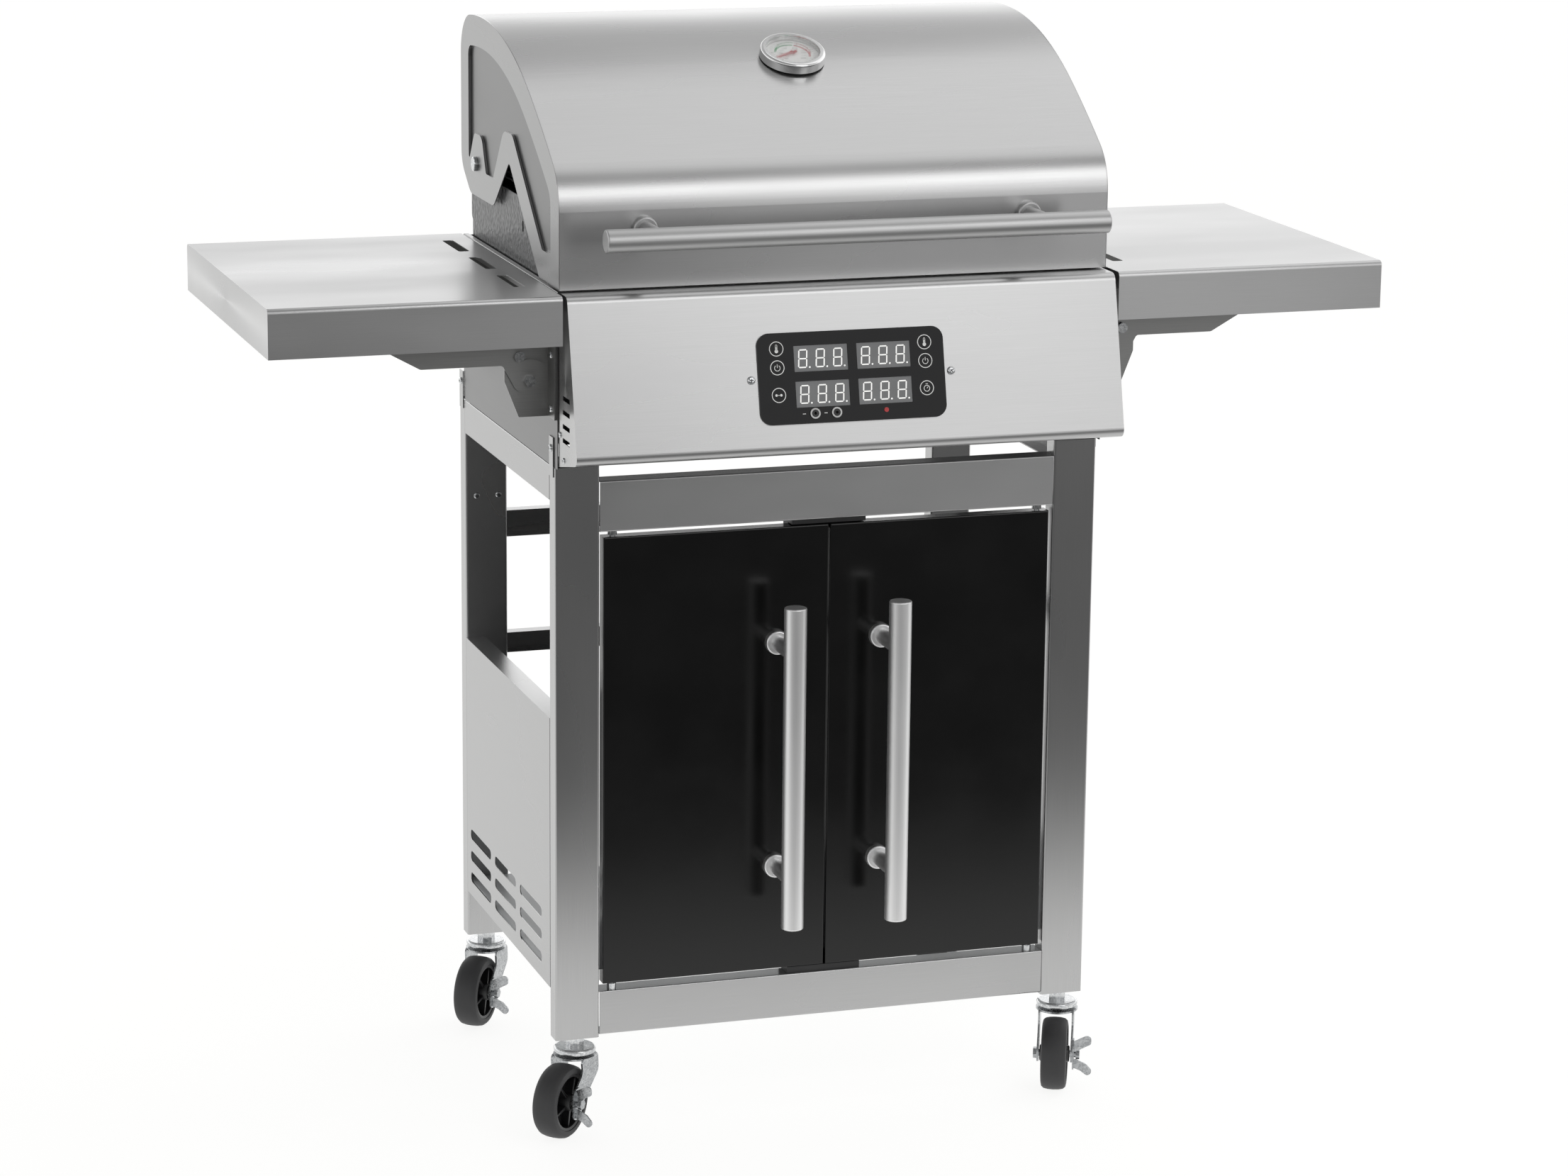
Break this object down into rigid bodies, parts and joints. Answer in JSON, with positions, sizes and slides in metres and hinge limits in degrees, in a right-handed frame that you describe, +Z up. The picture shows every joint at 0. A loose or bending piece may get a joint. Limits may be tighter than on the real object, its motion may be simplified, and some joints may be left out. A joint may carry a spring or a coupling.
{
  "type": "electric cabinet smoker",
  "caption": "Wheeled cabinet cart carrying an electrically heated smoking and grilling firebox with a lifting hood, folding side shelves and a digital control panel.",
  "frame": {"origin": "on the floor, under the middle of the whole object with its shelves out", "axes": "+X to the right as seen from the front, +Y to the back, +Z up"},
  "size_m": [1.2132, 0.519, 1.1571],
  "materials": {
    "brushed_stainless": "stainless sheet brushed along its length",
    "galvanised_sheet": "dull galvanised sheet",
    "gloss_black_enamel": "gloss black powder coat",
    "frame_paint": "satin black powder coat",
    "grey_shelf_paint": "light grey paint",
    "hammered_enamel": "dark hammered enamel",
    "black_glass": "gloss black printed glass",
    "clear_glass": "clear flat glass",
    "display_window": "grey filter window",
    "socket_steel": "turned nickel-plated steel",
    "circuit_board": "board with components",
    "black_plastic": "fine matt moulding",
    "zinc_plate": "bright zinc plating",
    "wheel_rubber": "dark grey moulded rubber",
    "cast_iron": "seasoned cast iron",
    "element_steel": "oxidised stainless tube",
    "chromed_wire": "chromed wire",
    "polished_steel": "polished bezel",
    "pointer_red": "red paint"
  },
  "bodies": {
    "cart": {"leg_front_left": "brushed_stainless", "leg_front_right": "brushed_stainless", "leg_rear_left": "brushed_stainless", "leg_rear_right": "brushed_stainless", "front_top_rail": "brushed_stainless", "front_bottom_rail": "brushed_stainless", "rear_rails": "brushed_stainless", "side_panel_left": "brushed_stainless", "side_panel_right": "brushed_stainless", "side_rails": "brushed_stainless", "control_panel": "brushed_stainless", "casing_sides": "galvanised_sheet", "casing_back": "galvanised_sheet", "shelf_supports": "galvanised_sheet", "bottom_shelf": "grey_shelf_paint", "liner_tub": "hammered_enamel", "firebox_ends": "hammered_enamel", "grate_ledges": "hammered_enamel", "cooking_grates": "cast_iron", "heating_elements": "element_steel", "warming_rack": "chromed_wire", "touch_panel": "black_glass", "led_displays": "display_window", "probe_jacks": "socket_steel", "control_board": "circuit_board", "mains_gland": "black_plastic", "magnet_catches": "black_plastic", "hood_pivot_bolts": "zinc_plate", "shelf_bolts": "zinc_plate", "frame_screws": "zinc_plate", "door_hinge_pins": "zinc_plate", "caster_stems": "zinc_plate"},
    "hood": {"hood_shell": "brushed_stainless", "hood_end_left": "brushed_stainless", "hood_end_right": "brushed_stainless", "hood_handle": "brushed_stainless", "thermometer_case": "polished_steel", "thermometer_lens": "clear_glass"},
    "needle": {"thermometer_needle": "pointer_red"},
    "left_door": {"door_left": "gloss_black_enamel", "door_handle_left": "brushed_stainless"},
    "right_door": {"door_right": "gloss_black_enamel", "door_handle_right": "brushed_stainless"},
    "left_shelf": {"shelf_left": "brushed_stainless", "shelf_arms_left": "galvanised_sheet"},
    "right_shelf": {"shelf_right": "brushed_stainless", "shelf_arms_right": "galvanised_sheet"},
    "tray": {"grease_tray": "galvanised_sheet"},
    "fork_front_left": {"caster_fork_front_left": "zinc_plate"},
    "wheel_front_left": {"caster_wheel_front_left": "wheel_rubber"},
    "brake_front_left": {"caster_brake_front_left": "zinc_plate"},
    "fork_front_right": {"caster_fork_front_right": "zinc_plate"},
    "wheel_front_right": {"caster_wheel_front_right": "wheel_rubber"},
    "brake_front_right": {"caster_brake_front_right": "zinc_plate"},
    "fork_rear_left": {"caster_fork_rear_left": "zinc_plate"},
    "wheel_rear_left": {"caster_wheel_rear_left": "wheel_rubber"},
    "brake_rear_left": {"caster_brake_rear_left": "zinc_plate"},
    "fork_rear_right": {"caster_fork_rear_right": "zinc_plate"},
    "wheel_rear_right": {"caster_wheel_rear_right": "wheel_rubber"},
    "brake_rear_right": {"caster_brake_rear_right": "zinc_plate"}
  },
  "joints": [
    {"name": "hood_hinge", "type": "hinge", "parent": "cart", "child": "hood", "pos_m": [0, 0.16747, 0.996], "axis": [-1, 0, 0], "range_deg": [0, 88]},
    {"name": "thermometer_needle_turn", "type": "hinge", "parent": "hood", "child": "needle", "pos_m": [0, -0.01303, 1.12324], "axis": [0, 0.397, -0.9178], "range_deg": [0, 250], "stiffness_Nm_per_rad": 0.0005},
    {"name": "left_door_hinge", "type": "hinge", "parent": "cart", "child": "left_door", "pos_m": [-0.2364, -0.15104, 0.402], "axis": [0, 0, -1], "range_deg": [0, 110]},
    {"name": "right_door_hinge", "type": "hinge", "parent": "cart", "child": "right_door", "pos_m": [0.2364, -0.15104, 0.402], "axis": [0, 0, 1], "range_deg": [0, 110]},
    {"name": "left_shelf_fold", "type": "hinge", "parent": "cart", "child": "left_shelf", "pos_m": [-0.322, 0.01097, 0.815], "axis": [0, -1, 0], "range_deg": [0, 90]},
    {"name": "right_shelf_fold", "type": "hinge", "parent": "cart", "child": "right_shelf", "pos_m": [0.322, 0.01097, 0.815], "axis": [0, 1, 0], "range_deg": [0, 90]},
    {"name": "grease_tray_slide", "type": "slide", "parent": "cart", "child": "tray", "axis": [0, 1, 0], "range_m": [0, 0.3]},
    {"name": "caster_swivel_front_left", "type": "hinge", "parent": "cart", "child": "fork_front_left", "pos_m": [-0.276, -0.14753, 0.084], "axis": [0, 0, 1], "continuous": true},
    {"name": "caster_roll_front_left", "type": "hinge", "parent": "fork_front_left", "child": "wheel_front_left", "pos_m": [-0.29792, -0.16945, 0.04], "axis": [0.7071, -0.7071, 0], "continuous": true},
    {"name": "caster_brake_front_left", "type": "hinge", "parent": "fork_front_left", "child": "brake_front_left", "pos_m": [-0.29792, -0.16945, 0.04], "axis": [0.7071, -0.7071, 0], "range_deg": [0, 18]},
    {"name": "caster_swivel_front_right", "type": "hinge", "parent": "cart", "child": "fork_front_right", "pos_m": [0.276, -0.14753, 0.084], "axis": [0, 0, 1], "continuous": true},
    {"name": "caster_roll_front_right", "type": "hinge", "parent": "fork_front_right", "child": "wheel_front_right", "pos_m": [0.26339, -0.17585, 0.04], "axis": [0.9135, -0.4067, 0], "continuous": true},
    {"name": "caster_brake_front_right", "type": "hinge", "parent": "fork_front_right", "child": "brake_front_right", "pos_m": [0.26339, -0.17585, 0.04], "axis": [0.9135, -0.4067, 0], "range_deg": [0, 18]},
    {"name": "caster_swivel_rear_left", "type": "hinge", "parent": "cart", "child": "fork_rear_left", "pos_m": [-0.276, 0.23447, 0.084], "axis": [0, 0, 1], "continuous": true},
    {"name": "caster_roll_rear_left", "type": "hinge", "parent": "fork_rear_left", "child": "wheel_rear_left", "pos_m": [-0.29422, 0.20939, 0.04], "axis": [0.809, -0.5878, 0], "continuous": true},
    {"name": "caster_brake_rear_left", "type": "hinge", "parent": "fork_rear_left", "child": "brake_rear_left", "pos_m": [-0.29422, 0.20939, 0.04], "axis": [0.809, -0.5878, 0], "range_deg": [0, 18]},
    {"name": "caster_swivel_rear_right", "type": "hinge", "parent": "cart", "child": "fork_rear_right", "pos_m": [0.276, 0.23447, 0.084], "axis": [0, 0, 1], "continuous": true},
    {"name": "caster_roll_rear_right", "type": "hinge", "parent": "fork_rear_right", "child": "wheel_rear_right", "pos_m": [0.2605, 0.20762, 0.04], "axis": [0.866, -0.5, 0], "continuous": true},
    {"name": "caster_brake_rear_right", "type": "hinge", "parent": "fork_rear_right", "child": "brake_rear_right", "pos_m": [0.2605, 0.20762, 0.04], "axis": [0.866, -0.5, 0], "range_deg": [0, 18]}
  ]
}
